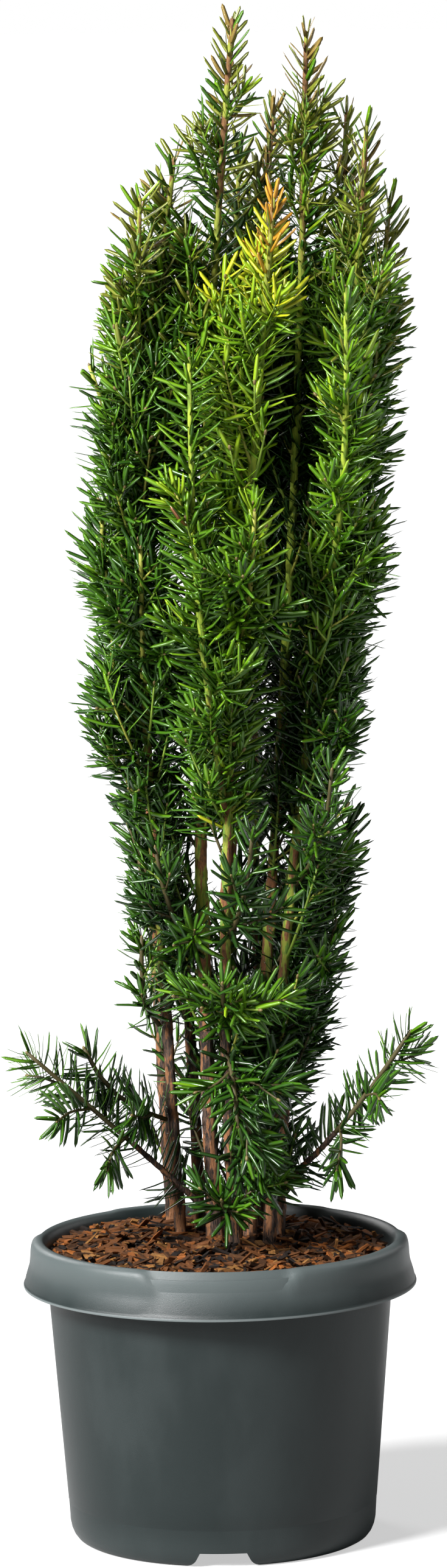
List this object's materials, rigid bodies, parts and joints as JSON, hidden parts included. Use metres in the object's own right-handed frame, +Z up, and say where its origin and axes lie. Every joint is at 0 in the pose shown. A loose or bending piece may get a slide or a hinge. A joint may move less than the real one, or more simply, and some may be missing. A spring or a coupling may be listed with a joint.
{
  "type": "columnar yew",
  "caption": "Slim upright conifer with clustered stems and glossy dark green needles, standing in a round dark nursery pot topped with bark chips.",
  "frame": {"origin": "centre of the pot's flat underside, on the pad in the middle of its floor", "axes": "+Z up along the stems, -Y towards the side that the picture shows, +X to its right"},
  "size_m": [0.2904, 0.2782, 1.0023],
  "materials": {
    "pot_plastic": "satin moulded plastic, slate grey-green",
    "soil": "moist compost bound by roots",
    "bark_chips": "reddish-brown bark chips",
    "stem_bark": "flaky brown bark, olive and reddish higher up",
    "needles": "glossy dark green needles, brighter at the tips"
  },
  "bodies": {
    "root": {"bark_mulch": "bark_chips", "bough_low_left": "stem_bark", "bough_low_right": "stem_bark", "foliage_back_1": "needles", "foliage_back_2": "needles", "foliage_back_3": "needles", "foliage_back_4": "needles", "foliage_back_5": "needles", "foliage_back_6": "needles", "foliage_back_7": "needles", "foliage_front_1": "needles", "foliage_front_2": "needles", "foliage_front_3": "needles", "foliage_front_4": "needles", "foliage_front_5": "needles", "foliage_front_6": "needles", "foliage_front_7": "needles", "foliage_front_8": "needles", "foliage_left_1": "needles", "foliage_left_2": "needles", "foliage_left_3": "needles", "foliage_left_4": "needles", "foliage_left_5": "needles", "foliage_left_6": "needles", "foliage_low_left": "needles", "foliage_low_mid": "needles", "foliage_low_right": "needles", "foliage_right_1": "needles", "foliage_right_2": "needles", "foliage_right_3": "needles", "foliage_right_4": "needles", "foliage_right_5": "needles", "foliage_right_6": "needles", "foliage_top_back_centre": "needles", "foliage_top_back_left": "needles", "foliage_top_back_right": "needles", "foliage_top_centre": "needles", "foliage_top_far_back": "needles", "foliage_top_far_right": "needles", "foliage_top_front": "needles", "foliage_top_front_left": "needles", "foliage_top_inner_back": "needles", "foliage_top_left": "needles", "foliage_top_left_back": "needles", "foliage_top_right": "needles", "foliage_top_right_back": "needles", "foliage_top_right_front": "needles", "foliage_top_tall_right": "needles", "pot": "pot_plastic", "root_ball": "soil", "stem_back_centre": "stem_bark", "stem_back_left": "stem_bark", "stem_back_right": "stem_bark", "stem_centre": "stem_bark", "stem_front": "stem_bark", "stem_left": "stem_bark", "stem_left_back": "stem_bark", "stem_right": "stem_bark", "stem_right_back": "stem_bark", "stem_tall_right": "stem_bark"}
  },
  "joints": []
}
